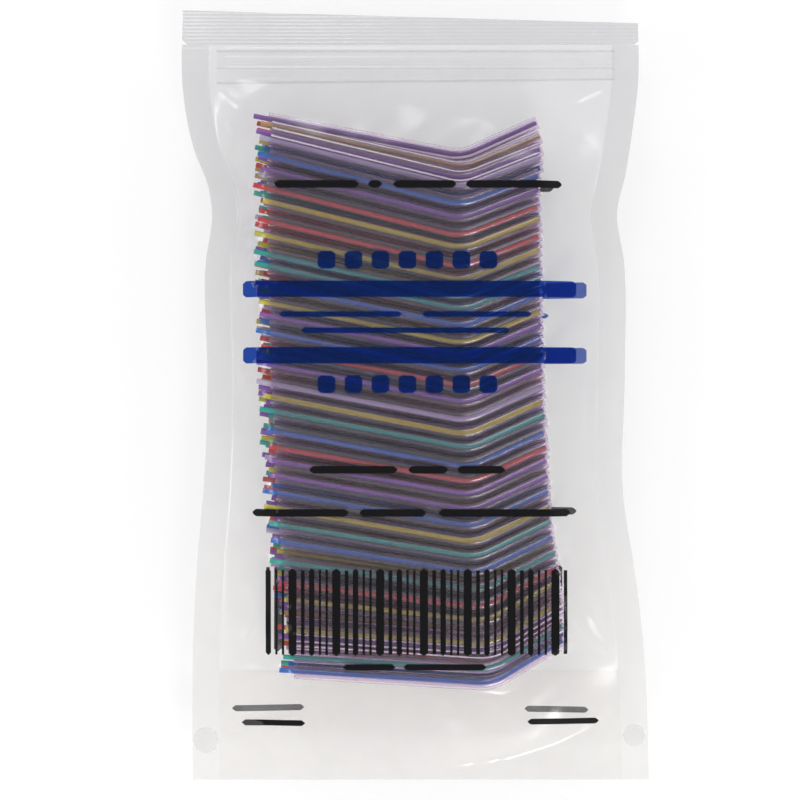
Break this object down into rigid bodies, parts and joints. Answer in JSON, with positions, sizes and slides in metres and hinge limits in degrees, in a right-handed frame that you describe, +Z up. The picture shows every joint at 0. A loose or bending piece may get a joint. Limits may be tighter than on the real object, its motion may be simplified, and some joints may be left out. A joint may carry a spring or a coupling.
{
  "type": "pouch of syringe tips",
  "caption": "Clear zip-top stand-up pouch lying flat, packed with bent clear plastic syringe tips that each hold a thin coloured core tube.",
  "frame": {"origin": "middle of the pouch's bounding box, on the surface that it lies on", "axes": "+X across the pouch, +Y along its length towards the zipper, +Z up from the surface that its back lies on"},
  "size_m": [0.1372, 0.231, 0.0272],
  "materials": {
    "film": "clear, slightly milky polyethylene film, glossy",
    "zipper": "clear extruded zipper strip",
    "sleeve": "clear rigid plastic with a faint lilac cast, glossy",
    "core_violet": "translucent violet plastic, glossy",
    "core_teal": "translucent teal plastic, glossy",
    "core_blue": "translucent blue plastic, glossy",
    "core_red": "translucent red plastic, glossy",
    "core_yellow": "translucent yellow plastic, glossy",
    "core_amber": "translucent amber plastic, glossy",
    "core_clear": "translucent clear plastic, glossy"
  },
  "bodies": {
    "pack": {"front_panel": "film", "back_panel": "film", "sleeves_layer_1": "sleeve", "sleeves_layer_2": "sleeve", "sleeves_layer_3": "sleeve", "sleeves_layer_4": "sleeve", "sleeves_layer_5": "sleeve", "sleeves_layer_6": "sleeve", "sleeves_layer_7": "sleeve", "cores_violet": "core_violet", "cores_teal": "core_teal", "cores_blue": "core_blue", "cores_red": "core_red", "cores_yellow": "core_yellow", "cores_amber": "core_amber", "cores_clear": "core_clear"},
    "header": {"header_front": "film", "header_back": "film"},
    "mouth_front": {"front_lip": "film", "zipper_female": "zipper"},
    "mouth_back": {"back_lip": "film", "zipper_male": "zipper"},
    "base_front": {"front_skirt": "film", "gusset_front_leaf": "film"},
    "base_back": {"back_skirt": "film", "gusset_back_leaf": "film"},
    "loose_tips": {"loose_sleeve_1": "sleeve", "loose_core_1": "core_red", "loose_sleeve_2": "sleeve", "loose_core_2": "core_violet", "loose_sleeve_3": "sleeve", "loose_core_3": "core_amber"}
  },
  "joints": [
    {"name": "header_tear", "type": "slide", "parent": "pack", "child": "header", "axis": [0, 1, 0], "range_m": [0, 0.03]},
    {"name": "mouth_front_open", "type": "hinge", "parent": "pack", "child": "mouth_front", "pos_m": [0, 0.082, 0.0272], "axis": [1, 0, 0], "range_deg": [0, 25]},
    {"name": "mouth_back_open", "type": "hinge", "parent": "pack", "child": "mouth_back", "pos_m": [0, 0.082, 0], "axis": [-1, 0, 0], "range_deg": [0, 25]},
    {"name": "base_front_open", "type": "hinge", "parent": "pack", "child": "base_front", "pos_m": [0, -0.0825, 0.0272], "axis": [-1, 0, 0], "range_deg": [0, 20]},
    {"name": "base_back_open", "type": "hinge", "parent": "pack", "child": "base_back", "pos_m": [0, -0.0825, 0], "axis": [1, 0, 0], "range_deg": [0, 20]},
    {"name": "loose_tips_shift", "type": "slide", "parent": "pack", "child": "loose_tips", "axis": [0, 1, 0], "range_m": [0, 0.0025]}
  ]
}
